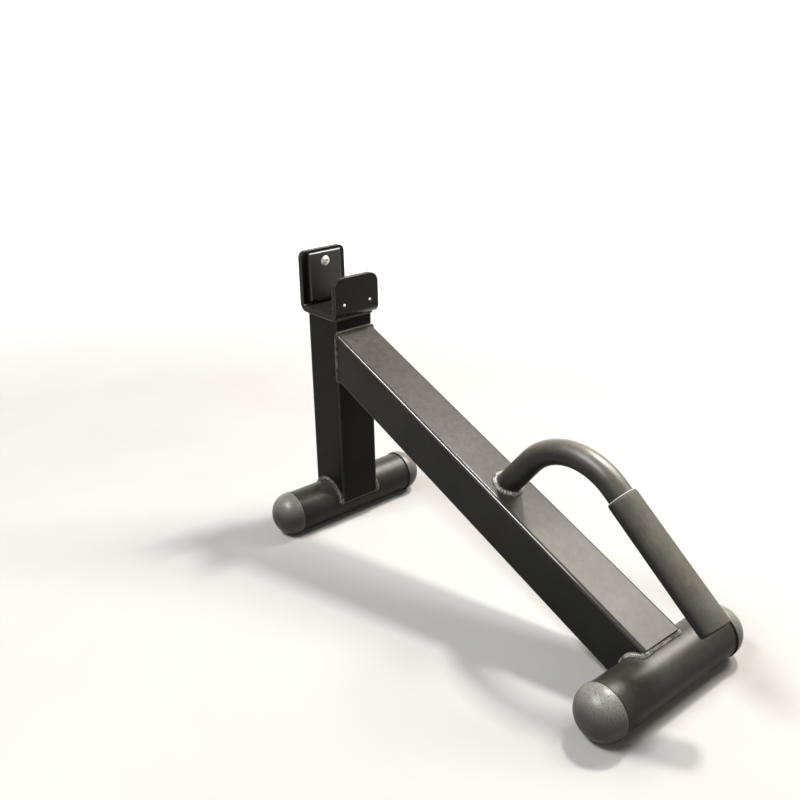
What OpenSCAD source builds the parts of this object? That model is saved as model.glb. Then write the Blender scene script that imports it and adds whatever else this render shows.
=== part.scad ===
// Deadlift jack: a welded steel frame that rocks on its front foot when its handle is pushed down.
// Two round feet with domed rubber caps carry a square post and a sloping square beam.
// The post ends in a lined cradle, and the beam carries a bent lever handle with a rubber grip.
//
// Millimetres. +X runs along the two feet, +Y from the handle towards the cradle, +Z up.
// The floor is z = 0, and the origin is the centre of the footprint's bounding box.

/* [Frame] */
// Distance between the axes of the two feet
foot_spacing = 425; // [400:5:450]
// Outside of the square tube that the post and the beam are cut from
square_size = 50; // [48:1:52]
// Wall of the square tube
square_wall = 3; // [2:0.5:3.5]
// Outer corner radius of the square tube
square_corner = 4; // [4:0.5:6]
// Height of the post's cut top above the floor
post_top = 241; // [235:1:250]
// Slope of the beam, in degrees above the floor
beam_slope = 23.7; // [22:0.1:25]
// Distance from the rear foot's axis to the beam's cut end, along the beam
beam_end = 12.5; // [10:0.5:15]

/* [Feet] */
// Diameter of the foot tubes
foot_d = 45; // [42:1:48]
// Wall of the foot tubes
foot_wall = 2.5; // [2:0.5:3]
// Length of a foot tube between its two caps
foot_length = 150; // [130:5:170]
// Diameter of a rubber cap
cap_d = 47; // [46:0.5:50]
// Length of a cap's straight rim
cap_rim = 2.5; // [2:0.5:5]
// Length of a cap's dome, from the rim to its flat tip
cap_dome = 21; // [18:0.5:22.5]
// Length of the plug that a cap pushes into its tube
cap_plug = 16; // [10:1:25]
// Depth of the worn flat that a cap stands on
cap_flat = 0.5; // [0.3:0.1:1]

/* [Cradle] */
// Width of the cradle, along X
cradle_width = 57; // [54:1:62]
// Clear depth between the two ears
cradle_gap = 52; // [48:1:56]
// Plate that the cradle is bent from
cradle_plate = 6; // [5:0.5:7]
// Inner radius of the cradle's two bends
cradle_bend = 3; // [2:0.5:4]
// Radius of the tall ear's top corners
tall_ear_corner = 7; // [5:0.5:12]
// Radius of the short ear's top corners
short_ear_corner = 10.5; // [5:0.5:12]
// Height of the tall ear's top above the floor
tall_ear_top = 306.5; // [300:0.5:315]
// Height of the short ear's top above the floor
short_ear_top = 286; // [282:0.5:290]

/* [Liners] */
// Thickness of the plastic liners
liner_thick = 4.5; // [4:0.5:6]
// Width of the liners, along X
liner_width = 42; // [38:1:46]
// Distance from a liner's top to its ear's top
liner_drop = 2.5; // [2:0.5:5]
// Chamfer of the liners' edges
liner_chamfer = 1.2; // [0.5:0.1:1.5]
// Height of the tall liner's screw above the floor
bolt_z = 293; // [285:0.5:295]
// Height of the short liner's two screws above the floor
screw_z = 257; // [256:0.5:270]
// Distance between the short liner's two screws
screw_spacing = 34; // [30:1:36]

/* [Handle] */
// Diameter of the handle tube
handle_d = 23; // [20:0.5:24]
// Wall of the handle tube
handle_wall = 2; // [1.5:0.5:3]
// Distance from the rear foot's axis to the handle's root, along the beam
handle_at = 201.5; // [180:0.5:220]
// Angle between the handle's lower leg and the beam, in degrees
handle_lean = 73.7; // [65:0.1:80]
// Length of the handle's straight lower leg
handle_leg = 42; // [40:0.5:55]
// Radius of the handle's bend, to the tube's centre
handle_bend = 65; // [55:1:75]
// Diameter of the rubber grip
grip_d = 27.5; // [27.5:0.5:32]
// Length of the rubber grip
grip_length = 122; // [100:1:130]
// Bare tube between the bend and the grip
grip_start = 8; // [5:1:15]
// Thickness of the grip's closed end
grip_end = 4; // [3:0.5:6]

/* [Hidden] */
$fn = 96;
// Slack that makes a cutting solid run past what it cuts
over = 1;
// Radial play of a screw in its hole
screw_play = 0.1;
// How far the post's coped end stays above the front foot's axis
cope_above = 3;
// Gap between the cradle's bends and the liners' lower edges
liner_gap = 1;

// Feet
foot_r = foot_d / 2;
foot_bore_r = foot_r - foot_wall;
cap_r = cap_d / 2;
axis_z = cap_r - cap_flat;
front_y = foot_spacing / 2;
rear_y = -foot_spacing / 2;

// Post and beam
square_half = square_size / 2;
post_face_y = front_y - square_half;
post_bottom = axis_z + cope_above;
beam_rise = tan(beam_slope) * (post_face_y - rear_y);
beam_top_z = axis_z + beam_rise + square_half / cos(beam_slope);
beam_foot_z = axis_z + beam_rise - square_half / cos(beam_slope);
beam_length = (post_face_y - rear_y) / cos(beam_slope) + square_size * tan(beam_slope);

// Cradle, centred on the post
cradle_half = cradle_gap / 2 + cradle_plate;
cradle_bottom = post_top;
cradle_floor = cradle_bottom + cradle_plate;
liner_bottom = cradle_floor + cradle_bend + liner_gap;
tall_face_y = front_y + cradle_gap / 2;
short_face_y = front_y - cradle_gap / 2;

// The M6 button-head screw of the tall liner, with its seat, washer and nut
bolt_r = 3;
bolt_head_r = 6;
bolt_head = 3;
bolt_rim = 0.5;
bolt_seat = 1.2;
bolt_socket = 4;
bolt_socket_depth = 1.8;
washer_r = 6;
washer_thick = 1.6;
nut_flats = 10;
nut_high = 5;
nut_chamfer = 0.5;
bolt_tail = 1.5;
bolt_end_y = tall_face_y + cradle_plate + washer_thick + nut_high + bolt_tail;

// The two M3 countersunk screws of the short liner
screw_r = 1.5;
screw_head_r = 3.1;
screw_head = 1.7;
screw_socket = 2;
screw_tip = 0.7;

// Handle, as turns and lengths in its own plane, with a quarter bend
handle_turn = 90;
handle_r = handle_d / 2;
handle_bore_r = handle_r - handle_wall;
handle_dip = handle_turn - handle_lean;
grip_r = grip_d / 2;
grip_round = 2;
grip_taper = 3;
grip_lip = 1.7;
handle_tail = grip_start + grip_length - grip_end;
bend_start = handle_leg * [cos(handle_lean), sin(handle_lean)];
bend_centre = bend_start + handle_bend * [sin(handle_lean), -cos(handle_lean)];
bend_end = bend_centre + handle_bend * [sin(handle_dip), cos(handle_dip)];

// Weld beads
bead_r = 2.8;
thin_bead_r = 1.8;
gap_bead_r = 3.4;
gap_bead_in = 0.2;
gap_bead_back = 1;

// Where the part's box ends in front and behind, so that the origin sits in its middle
grip_tip = bend_end + (grip_start + grip_length) * [cos(handle_dip), -sin(handle_dip)];
dip_world = handle_dip + beam_slope;
beam_tip_y = rear_y + (handle_at - grip_tip[0]) * cos(beam_slope)
    - (square_half + grip_tip[1]) * sin(beam_slope);
rear_end_y = beam_tip_y - (grip_r - grip_round) * sin(dip_world) - grip_round * (1 - cos(dip_world));
middle_y = (bolt_end_y + rear_end_y) / 2;

// Colours of the real finishes
frame_black = [0.10, 0.10, 0.10];
rubber_grey = [0.20, 0.20, 0.19];
liner_black = [0.07, 0.07, 0.07];
zinc_grey = [0.75, 0.75, 0.73];
weld_black = [0.16, 0.16, 0.15];

// Moves the frame's own middle, half way between the feet, to the part's origin
module placed() {
    translate([0, -middle_y, 0]) children();
}

// The beam's frame: origin on the rear foot's axis, +Y up along the beam, +Z out of its top
module beam_frame() {
    translate([0, rear_y, axis_z]) rotate([beam_slope, 0, 0]) children();
}

// The handle's frame: origin on the beam's top, +X down along the beam, +Y out of its top
module handle_frame() {
    beam_frame()
        translate([0, handle_at, square_half])
            rotate([0, 0, -90]) rotate([90, 0, 0]) children();
}

// A rod along X, centred on x = 0
module rod_x(radius, length) {
    rotate([0, 90, 0]) cylinder(r = radius, h = length, center = true);
}

// A rectangle with round corners, centred on the origin
module round_rect(width, depth, corner) {
    square([width - 2 * corner, depth], center = true);
    square([width, depth - 2 * corner], center = true);
    for (sx = [-1, 1])
        for (sy = [-1, 1])
            translate([sx * (width / 2 - corner), sy * (depth / 2 - corner)])
                circle(r = corner);
}

// The square tube's outside
module square_outline() {
    round_rect(square_size, square_size, square_corner);
}

// The square tube's section
module square_section() {
    inner = square_size - 2 * square_wall;
    difference() {
        square_outline();
        round_rect(inner, inner, square_corner - square_wall);
    }
}

// The outside of a foot at a given place along Y
module foot_solid(y) {
    translate([0, y, axis_z]) rod_x(foot_r, foot_length);
}

module foot_tube(y) {
    placed() translate([0, y, axis_z])
        difference() {
            rod_x(foot_r, foot_length);
            rod_x(foot_bore_r, foot_length + 2 * over);
        }
}

// The half outline of a cap: plug, rim and a round dome that ends in a small flat tip
module cap_outline() {
    translate([0, -cap_plug]) square([foot_bore_r, cap_plug]);
    square([cap_r, cap_rim]);
    translate([0, cap_rim]) {
        square([cap_r - cap_dome, cap_dome]);
        intersection() {
            translate([cap_r - cap_dome, 0]) circle(r = cap_dome);
            square([cap_r, cap_dome]);
        }
    }
}

// side is -1 for the cap at -X and 1 for the one at +X
module foot_cap(y, side) {
    placed() translate([0, y, axis_z])
        rotate([0, 0, 90 - side * 90]) translate([foot_length / 2, 0, 0])
            difference() {
                rotate([0, 90, 0]) rotate_extrude() cap_outline();
                translate([-cap_d, -cap_d, -axis_z - cap_d]) cube([2 * cap_d, 2 * cap_d, cap_d]);
            }
}

module front_foot_tube() {
    color(frame_black) foot_tube(front_y);
}

module rear_foot_tube() {
    color(frame_black) foot_tube(rear_y);
}

module front_left_cap() {
    color(rubber_grey) foot_cap(front_y, -1);
}

module front_right_cap() {
    color(rubber_grey) foot_cap(front_y, 1);
}

module rear_left_cap() {
    color(rubber_grey) foot_cap(rear_y, -1);
}

module rear_right_cap() {
    color(rubber_grey) foot_cap(rear_y, 1);
}

// The post's outside, as a solid that welds are cut with
module post_solid() {
    translate([0, front_y, post_bottom])
        linear_extrude(height = post_top - post_bottom) square_outline();
}

// The post straddles the front foot: its lower end is coped to the round tube
module upright_post() {
    color(frame_black) placed()
        difference() {
            translate([0, front_y, post_bottom])
                linear_extrude(height = post_top - post_bottom) square_section();
            foot_solid(front_y);
        }
}

// A section drawn out along the beam, and cut upright where it meets the post
module along_beam() {
    difference() {
        beam_frame()
            translate([0, beam_end, 0]) rotate([-90, 0, 0])
                linear_extrude(height = beam_length - beam_end) children();
        translate([-square_size, post_face_y, 0])
            cube([2 * square_size, square_size, post_top + square_size]);
    }
}

// The beam's lower end is coped to the rear foot
module main_beam() {
    color(frame_black) placed()
        difference() {
            along_beam() square_section();
            foot_solid(rear_y);
        }
}

// The handle tube's section, on the bend's radius
module handle_section() {
    translate([handle_bend, 0])
        difference() {
            circle(r = handle_r);
            circle(r = handle_bore_r);
        }
}

// Everything under the beam's top skin, near the handle's root
module below_skin() {
    translate([-4 * handle_r, -4 * handle_r, -4 * handle_r])
        cube([8 * handle_r, 4 * handle_r, 8 * handle_r]);
}

// The lower leg, as a rod that runs on below the beam's top skin
module handle_leg_rod(radius, root) {
    rotate([0, 0, handle_lean])
        translate([-root, 0, 0]) rotate([0, 90, 0]) cylinder(r = radius, h = handle_leg + root);
}

// The lower leg, bend and tail, set out from the bend's centre.
// The beam's top skin trims the leg's root to a slanted foot.
module handle_tube() {
    color(frame_black) placed() handle_frame()
        difference() {
            translate([bend_centre[0], bend_centre[1], 0])
                rotate([0, 0, 90 - handle_dip]) {
                    rotate_extrude(angle = handle_turn) handle_section();
                    rotate([90, 0, 0]) linear_extrude(height = handle_tail) handle_section();
                    rotate([0, 0, handle_turn]) rotate([-90, 0, 0])
                        linear_extrude(height = handle_leg + handle_r) handle_section();
                }
            below_skin();
        }
}

// The half outline of the grip: a tapered lip above, a rounded closed end below
module grip_outline() {
    wall = grip_r - handle_r;
    difference() {
        union() {
            polygon([
                [0, 0],
                [handle_r + grip_lip, 0],
                [grip_r, grip_taper],
                [grip_r, grip_length - grip_round],
                [grip_r - grip_round, grip_length - grip_round],
                [grip_r - grip_round, grip_length],
                [0, grip_length]
            ]);
            translate([grip_r - grip_round, grip_length - grip_round]) circle(r = grip_round);
        }
        translate([-over, -over]) square([handle_r + over, grip_length - grip_end + over]);
        translate([-grip_r, -over]) square([grip_r, grip_length + 2 * over]);
    }
}

module handle_grip() {
    color(rubber_grey) placed() handle_frame()
        translate([bend_end[0], bend_end[1], 0])
            rotate([0, 0, -handle_dip])
                translate([grip_start, 0, 0])
                    rotate([0, 90, 0]) rotate_extrude() grip_outline();
}

// The bent strip, seen from the side: two upright ears on one floor
module strip_section() {
    outer = cradle_bend + cradle_plate;
    high = tall_ear_top - cradle_bottom;
    difference() {
        translate([0, high / 2]) round_rect(2 * cradle_half, high, outer);
        translate([0, high / 2 + cradle_plate]) round_rect(cradle_gap, high, cradle_bend);
    }
    for (side = [-1, 1])
        translate([side * (cradle_half - cradle_plate / 2), high - outer / 2])
            square([cradle_plate, outer], center = true);
}

// An ear's outline, seen from the handle's side, up to a given height
module ear_outline(top, corner) {
    high = top - cradle_bottom;
    translate([-cradle_width / 2, 0]) square([cradle_width, high - corner]);
    translate([-cradle_width / 2 + corner, 0]) square([cradle_width - 2 * corner, high]);
    for (side = [-1, 1])
        translate([side * (cradle_width / 2 - corner), high - corner])
            circle(r = corner);
}

module strip() {
    translate([0, front_y, cradle_bottom])
        intersection() {
            rotate([90, 0, 90])
                linear_extrude(height = cradle_width, center = true) strip_section();
            union() {
                rotate([90, 0, 0])
                    linear_extrude(height = cradle_half)
                        ear_outline(short_ear_top, short_ear_corner);
                rotate([90, 0, 180])
                    linear_extrude(height = cradle_half)
                        ear_outline(tall_ear_top, tall_ear_corner);
            }
        }
}

module cradle_bracket() {
    color(frame_black) placed()
        difference() {
            strip();
            translate([0, tall_face_y - over, bolt_z])
                rotate([-90, 0, 0])
                    cylinder(r = bolt_r + screw_play, h = cradle_plate + 2 * over);
            for (side = [-1, 1])
                translate([side * screw_spacing / 2, short_face_y + over, screw_z])
                    rotate([90, 0, 0])
                        cylinder(r = screw_r + screw_play, h = cradle_plate + 2 * over);
        }
}

// A liner lies on the plane y = 0 and faces +Y, with its front edges chamfered
module liner_pad(top) {
    high = top - liner_drop - liner_bottom;
    deep = liner_thick - liner_chamfer;
    half = liner_width / 2;
    intersection() {
        translate([-half, 0, liner_bottom]) cube([liner_width, liner_thick, high]);
        linear_extrude(height = top)
            polygon([
                [-half, 0],
                [half, 0],
                [half, deep],
                [half - liner_chamfer, liner_thick],
                [-half + liner_chamfer, liner_thick],
                [-half, deep]
            ]);
        translate([0, 0, liner_bottom])
            rotate([90, 0, 90]) linear_extrude(height = liner_width, center = true)
                polygon([
                    [0, 0],
                    [deep, 0],
                    [liner_thick, liner_chamfer],
                    [liner_thick, high - liner_chamfer],
                    [deep, high],
                    [0, high]
                ]);
    }
}

// The tall liner has a shallow seat for the screw's head
module tall_liner() {
    color(liner_black) placed()
        difference() {
            translate([0, tall_face_y, 0]) rotate([0, 0, 180]) liner_pad(tall_ear_top);
            translate([0, tall_face_y + over, bolt_z])
                rotate([90, 0, 0]) cylinder(r = bolt_r + screw_play, h = liner_thick + 2 * over);
            translate([0, tall_face_y - liner_thick + bolt_seat, bolt_z])
                rotate([90, 0, 0]) cylinder(r = bolt_head_r + screw_play, h = bolt_seat + over);
        }
}

// The short liner is countersunk for its two screws
module short_liner() {
    color(liner_black) placed()
        difference() {
            translate([0, short_face_y, 0]) liner_pad(short_ear_top);
            for (side = [-1, 1])
                translate([side * screw_spacing / 2, short_face_y, screw_z]) {
                    translate([0, -over, 0]) rotate([-90, 0, 0])
                        cylinder(r = screw_r + screw_play, h = liner_thick + 2 * over);
                    translate([0, liner_thick - screw_head, 0]) rotate([-90, 0, 0])
                        countersink(screw_play);
                }
        }
}

// A countersunk head's cone, from the shank's radius to the head's, widened by a play
module countersink(play) {
    rotate_extrude()
        polygon([
            [0, 0],
            [screw_r + play, 0],
            [screw_head_r + play, screw_head],
            [0, screw_head]
        ]);
}

// The tall liner's screw: low dome on a short rim, with a hexagon socket, and shank to the nut
module tall_liner_screw() {
    seat_y = tall_face_y - liner_thick + bolt_seat;
    dome = bolt_head - bolt_rim;
    dome_r = (bolt_head_r * bolt_head_r + dome * dome) / (2 * dome);
    color(zinc_grey) placed() translate([0, seat_y, bolt_z])
        difference() {
            union() {
                rotate([-90, 0, 0]) cylinder(r = bolt_r, h = bolt_end_y - seat_y);
                rotate([90, 0, 0])
                    rotate_extrude()
                        intersection() {
                            translate([0, bolt_head - dome_r]) circle(r = dome_r);
                            square([bolt_head_r, bolt_head]);
                        }
            }
            translate([0, bolt_socket_depth - bolt_head, 0]) rotate([90, 0, 0])
                cylinder(r = bolt_socket / 2 / cos(30), h = bolt_head, $fn = 6);
        }
}

module tall_liner_washer() {
    color(zinc_grey) placed()
        translate([0, tall_face_y + cradle_plate, bolt_z]) rotate([-90, 0, 0])
            difference() {
                cylinder(r = washer_r, h = washer_thick);
                translate([0, 0, -over])
                    cylinder(r = bolt_r + screw_play, h = washer_thick + 2 * over);
            }
}

// A hexagon nut whose outer corners are cut by a cone
module tall_liner_nut() {
    corner_r = nut_flats / 2 / cos(30);
    color(zinc_grey) placed()
        translate([0, tall_face_y + cradle_plate + washer_thick, bolt_z]) rotate([-90, 0, 0])
            difference() {
                intersection() {
                    cylinder(r = corner_r, h = nut_high, $fn = 6);
                    rotate_extrude()
                        polygon([
                            [0, 0],
                            [corner_r, 0],
                            [corner_r, nut_high - nut_chamfer],
                            [corner_r - 2 * nut_chamfer, nut_high],
                            [0, nut_high]
                        ]);
                }
                translate([0, 0, -over]) cylinder(r = bolt_r + screw_play / 2, h = nut_high + 2 * over);
            }
}

// A countersunk screw whose tip shows on the short ear's outer face
module liner_screw(side) {
    head_y = short_face_y + liner_thick - screw_head;
    tip_y = short_face_y - cradle_plate - screw_tip;
    color(zinc_grey) placed()
        translate([side * screw_spacing / 2, 0, screw_z]) {
            translate([0, head_y, 0]) rotate([-90, 0, 0])
                difference() {
                    countersink(0);
                    translate([0, 0, screw_head / 2])
                        cylinder(r = screw_socket / 2 / cos(30), h = screw_head, $fn = 6);
                }
            translate([0, head_y, 0]) rotate([90, 0, 0])
                rotate_extrude()
                    polygon([
                        [0, 0],
                        [screw_r, 0],
                        [screw_r, head_y - tip_y - screw_tip],
                        [screw_r - screw_tip / 2, head_y - tip_y],
                        [0, head_y - tip_y]
                    ]);
        }
}

module short_liner_screw_left() {
    liner_screw(-1);
}

module short_liner_screw_right() {
    liner_screw(1);
}

// The weld beads are round beads in the corners, trimmed by the metal that they join.
// Beads along a foot's seam: a ring on each side wall, from one angle to another
module side_rings(y, from, turn) {
    for (side = [-1, 1])
        translate([side * square_half, y, axis_z])
            rotate([0, 90, 0]) rotate([0, 0, from])
                rotate_extrude(angle = turn) translate([foot_r, 0]) circle(r = bead_r);
}

module front_foot_weld() {
    reach = sqrt(foot_r * foot_r - pow(post_bottom - axis_z, 2));
    edge = acos((post_bottom - axis_z) / foot_r);
    color(weld_black) placed()
        difference() {
            union() {
                side_rings(front_y, 180 - edge, 2 * edge);
                for (side = [-1, 1])
                    translate([0, front_y + side * (reach + bead_r / 2), post_bottom])
                        rod_x(bead_r, square_size);
            }
            foot_solid(front_y);
            post_solid();
        }
}

module rear_foot_weld() {
    edge = acos(beam_end / foot_r);
    gap_z = square_half - gap_bead_r - gap_bead_in;
    color(weld_black) placed()
        difference() {
            union() {
                side_rings(rear_y, 90 - edge + beam_slope, 2 * edge);
                beam_frame()
                    for (side = [-1, 1])
                        translate([0, beam_end - gap_bead_back, side * gap_z]) {
                            rod_x(gap_bead_r, square_size - gap_bead_r);
                            for (end = [-1, 1])
                                translate([end * (square_size - gap_bead_r) / 2, 0, 0])
                                    sphere(r = gap_bead_r);
                        }
            }
            foot_solid(rear_y);
            along_beam() square_outline();
        }
}

// The bead round the beam's upper end: a fillet above and below, and a thin line on each side
module beam_weld() {
    color(weld_black) placed()
        difference() {
            union() {
                for (z = [beam_top_z, beam_foot_z])
                    translate([0, post_face_y, z]) rod_x(bead_r, square_size - square_corner);
                for (side = [-1, 1])
                    translate([side * (square_half - square_corner / 4), post_face_y, beam_foot_z - bead_r / 4])
                        cylinder(r = thin_bead_r, h = beam_top_z - beam_foot_z + bead_r / 2);
            }
            post_solid();
            along_beam() square_outline();
        }
}

// The bead under the cradle's floor, round the post's cut top
module cradle_weld() {
    color(weld_black) placed()
        difference() {
            translate([0, front_y, cradle_bottom])
                for (quarter = [0:3])
                    rotate([0, 0, 90 * quarter]) {
                        translate([0, square_half, 0])
                            rod_x(bead_r, square_size - 2 * square_corner);
                        translate([square_half - square_corner, square_half - square_corner, 0])
                            rotate_extrude(angle = 90)
                                translate([square_corner, 0]) circle(r = bead_r);
                    }
            strip();
            post_solid();
        }
}

module handle_weld() {
    color(weld_black) placed() handle_frame()
        difference() {
            rotate([90, 0, 0]) rotate_extrude() translate([handle_r + bead_r / 2, 0]) circle(r = bead_r);
            handle_leg_rod(handle_r, handle_r);
            below_skin();
        }
}

front_foot_tube();
rear_foot_tube();
front_left_cap();
front_right_cap();
rear_left_cap();
rear_right_cap();
upright_post();
main_beam();
handle_tube();
handle_grip();
cradle_bracket();
tall_liner();
short_liner();
tall_liner_screw();
tall_liner_washer();
tall_liner_nut();
short_liner_screw_left();
short_liner_screw_right();
front_foot_weld();
rear_foot_weld();
beam_weld();
cradle_weld();
handle_weld();
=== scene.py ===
# %% [markdown]
# # A deadlift jack, dressed for a studio picture
# The frame of this jack is square and round steel tube, welded and then coated with black powder.
# Its exact solids come from the CAD model. This lesson gives them real surfaces, lays
# rippled weld beads over the plain ones, and lights the whole thing on a pale floor.
# Everything is in metres, with +Z up and +Y pointing from the handle to the cradle.

from math import cos, pi, radians, sin, tan

import bpy
from mathutils import Matrix, Vector


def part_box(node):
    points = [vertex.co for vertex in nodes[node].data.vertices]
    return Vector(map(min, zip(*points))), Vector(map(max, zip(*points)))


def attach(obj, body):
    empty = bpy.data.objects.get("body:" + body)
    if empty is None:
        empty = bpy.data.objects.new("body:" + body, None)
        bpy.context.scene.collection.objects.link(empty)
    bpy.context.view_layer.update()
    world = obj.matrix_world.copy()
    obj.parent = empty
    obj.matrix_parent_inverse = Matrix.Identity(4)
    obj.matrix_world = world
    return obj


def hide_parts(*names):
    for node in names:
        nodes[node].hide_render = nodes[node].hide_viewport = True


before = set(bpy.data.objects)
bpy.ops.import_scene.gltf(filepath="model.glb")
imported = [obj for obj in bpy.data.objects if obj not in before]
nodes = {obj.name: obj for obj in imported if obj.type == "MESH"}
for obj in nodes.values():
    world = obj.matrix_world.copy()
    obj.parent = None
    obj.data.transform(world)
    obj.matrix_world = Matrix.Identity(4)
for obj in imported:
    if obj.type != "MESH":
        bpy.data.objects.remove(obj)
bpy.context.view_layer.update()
MM = 0.001
print("solids:", len(nodes))

# %% [markdown]
# ## The camera
# The picture was taken from the handle's side, a little above the cradle. The camera stands
# where the jack's straight edges cross the picture as they do in the photograph.
# A turn and a tilt aim it, and a small roll stands for hands that weren't quite level.
# The photograph was trimmed a little unevenly, so a small shift moves the lens's own centre
# off the picture's centre.

# %% Camera
FOCAL_PX = 938.3
FRAME_PX = 800
CENTRE_PX = (370, 350)
TURN = radians(-38.256)
TILT = radians(18.973)
ROLL = radians(-1.941)
CAMERA_AT = Vector((-0.58013, -0.56836, 0.53063))

back = Vector((sin(TURN) * cos(TILT), -cos(TURN) * cos(TILT), sin(TILT)))
right = Vector((0, 0, 1)).cross(back).normalized()
up = back.cross(right)
rolled_right = right * cos(ROLL) + up * sin(ROLL)
rolled_up = up * cos(ROLL) - right * sin(ROLL)

lens = bpy.data.cameras.new("camera")
lens.sensor_width = 36
lens.lens = lens.sensor_width * FOCAL_PX / FRAME_PX
lens.shift_x = (FRAME_PX / 2 - CENTRE_PX[0]) / FRAME_PX
lens.shift_y = (CENTRE_PX[1] - FRAME_PX / 2) / FRAME_PX
lens.clip_start = 0.01
camera = bpy.data.objects.new("camera", lens)
camera.matrix_world = Matrix((rolled_right, rolled_up, back)).transposed().to_4x4()
camera.location = CAMERA_AT
bpy.context.scene.collection.objects.link(camera)
bpy.context.scene.camera = camera
print("lens:", round(lens.lens, 1), "mm")

# %% [markdown]
# ## The studio
# A floor that ends at a straight edge would draw a horizon behind the jack. A photographer
# hides it with a sweep: paper that curves from the floor up into a wall. Here the sweep is a
# round dish, so it hides the horizon from every side.

# %% Dish-shaped backdrop
FLOOR_RADIUS = 2.6
SWEEP_RADIUS = 1.2
WALL_TOP = 2.2
DISH_STEPS = 96
SWEEP_STEPS = 16
FLOOR_PARTS = (0.25, 0.5, 0.75, 1.0)


def new_mesh(name, points, faces):
    mesh = bpy.data.meshes.new(name)
    mesh.from_pydata(points, [], faces)
    mesh.shade_smooth()
    piece = bpy.data.objects.new(name, mesh)
    bpy.context.scene.collection.objects.link(piece)
    return piece


def dish_profile():
    profile = [(FLOOR_RADIUS * part, 0.0) for part in FLOOR_PARTS]
    for step in range(1, SWEEP_STEPS + 1):
        angle = pi / 2 * step / SWEEP_STEPS
        profile.append((FLOOR_RADIUS + SWEEP_RADIUS * sin(angle), SWEEP_RADIUS * (1 - cos(angle))))
    profile.append((FLOOR_RADIUS + SWEEP_RADIUS, WALL_TOP))
    return profile


def dish():
    profile = dish_profile()
    points = [(0.0, 0.0, 0.0)]
    for radius, height in profile:
        for step in range(DISH_STEPS):
            angle = 2 * pi * step / DISH_STEPS
            points.append((radius * cos(angle), radius * sin(angle), height))
    faces = [(0, 1 + step, 1 + (step + 1) % DISH_STEPS) for step in range(DISH_STEPS)]
    for ring in range(len(profile) - 1):
        low = 1 + ring * DISH_STEPS
        high = low + DISH_STEPS
        for step in range(DISH_STEPS):
            after = (step + 1) % DISH_STEPS
            faces.append((low + step, high + step, high + after, low + after))
    return new_mesh("backdrop", points, faces)


backdrop = dish()
print("backdrop:", len(backdrop.data.polygons), "faces")

# %% [markdown]
# ## Helpers for materials
# Colours are picked as hex values, as they look on a screen. Blender's shaders count light,
# so one function turns each hex value into linear red, green and blue.
# A second function adds one node: its settings are attributes, and each of its inputs is
# given a value or another node's output.

# %% Colour and node helpers


def linear(hex_colour):
    channels = [int(hex_colour[start:start + 2], 16) / 255 for start in (1, 3, 5)]
    lights = [c / 12.92 if c <= 0.04045 else ((c + 0.055) / 1.055) ** 2.4 for c in channels]
    return (*lights, 1.0)


def add_node(tree, kind, inputs=None, **settings):
    node = tree.nodes.new(kind)
    for name, value in settings.items():
        setattr(node, name, value)
    for key, value in (inputs or {}).items():
        if isinstance(value, bpy.types.NodeSocket):
            tree.links.new(value, node.inputs[key])
        else:
            node.inputs[key].default_value = value
    return node


def new_material(name):
    material = bpy.data.materials.new(name)
    material.use_nodes = True
    tree = material.node_tree
    tree.nodes.clear()
    surface = add_node(tree, "ShaderNodeBsdfPrincipled")
    add_node(tree, "ShaderNodeOutputMaterial", {"Surface": surface.outputs["BSDF"]})
    place = add_node(tree, "ShaderNodeTexCoord").outputs["Object"]
    return material, tree, surface, place


def per_metre(size_mm):
    """A texture's scale for a pattern whose features are this many millimetres across."""
    return 1 / (size_mm * MM)


print("middle grey in linear light:", [round(c, 4) for c in linear("#808080")])

# %% [markdown]
# ## Floor
# A studio floor is matt painted board. It has next to no pattern, but a faint change of tone
# over a hand's width keeps it from looking like an empty computer picture. It could be one
# white all over, but then it would throw too much light up at the black steel. So it is grey
# round the jack, and whiter farther out, where the lamps are weaker.

# %% Painted board
# These are the places of a colour Mix node's inputs and output, which share their names
# with those for numbers.
COLOUR_A, COLOUR_B, COLOUR_OUT = 6, 7, 2
TONE_MM = 180
GREY_UNTIL = 0.5
WHITE_FROM = 2.4


def painted_board():
    material, tree, surface, place = new_material("painted_board")
    patches = add_node(tree, "ShaderNodeTexNoise", {
        "Vector": place, "Scale": per_metre(TONE_MM), "Detail": 3.0})
    tone = add_node(tree, "ShaderNodeMix", {
        "Factor": patches.outputs["Fac"],
        COLOUR_A: linear("#9f9e9c"), COLOUR_B: linear("#a8a7a5")}, data_type="RGBA")

    # The distance from the jack decides how white the paint is.
    distance = add_node(tree, "ShaderNodeVectorMath", {0: place}, operation="LENGTH")
    climb = add_node(tree, "ShaderNodeMapRange", {
        "Value": distance.outputs["Value"], "From Min": GREY_UNTIL, "From Max": WHITE_FROM},
        interpolation_type="SMOOTHSTEP")
    paint = add_node(tree, "ShaderNodeMix", {
        "Factor": climb.outputs["Result"],
        COLOUR_A: tone.outputs[COLOUR_OUT], COLOUR_B: linear("#efeeeb")}, data_type="RGBA")
    tree.links.new(paint.outputs[COLOUR_OUT], surface.inputs["Base Color"])
    surface.inputs["Roughness"].default_value = 0.8
    surface.inputs["Specular IOR Level"].default_value = 0.2
    return material


board = painted_board()
backdrop.data.materials.append(board)
print("floor:", board.name)
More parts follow.
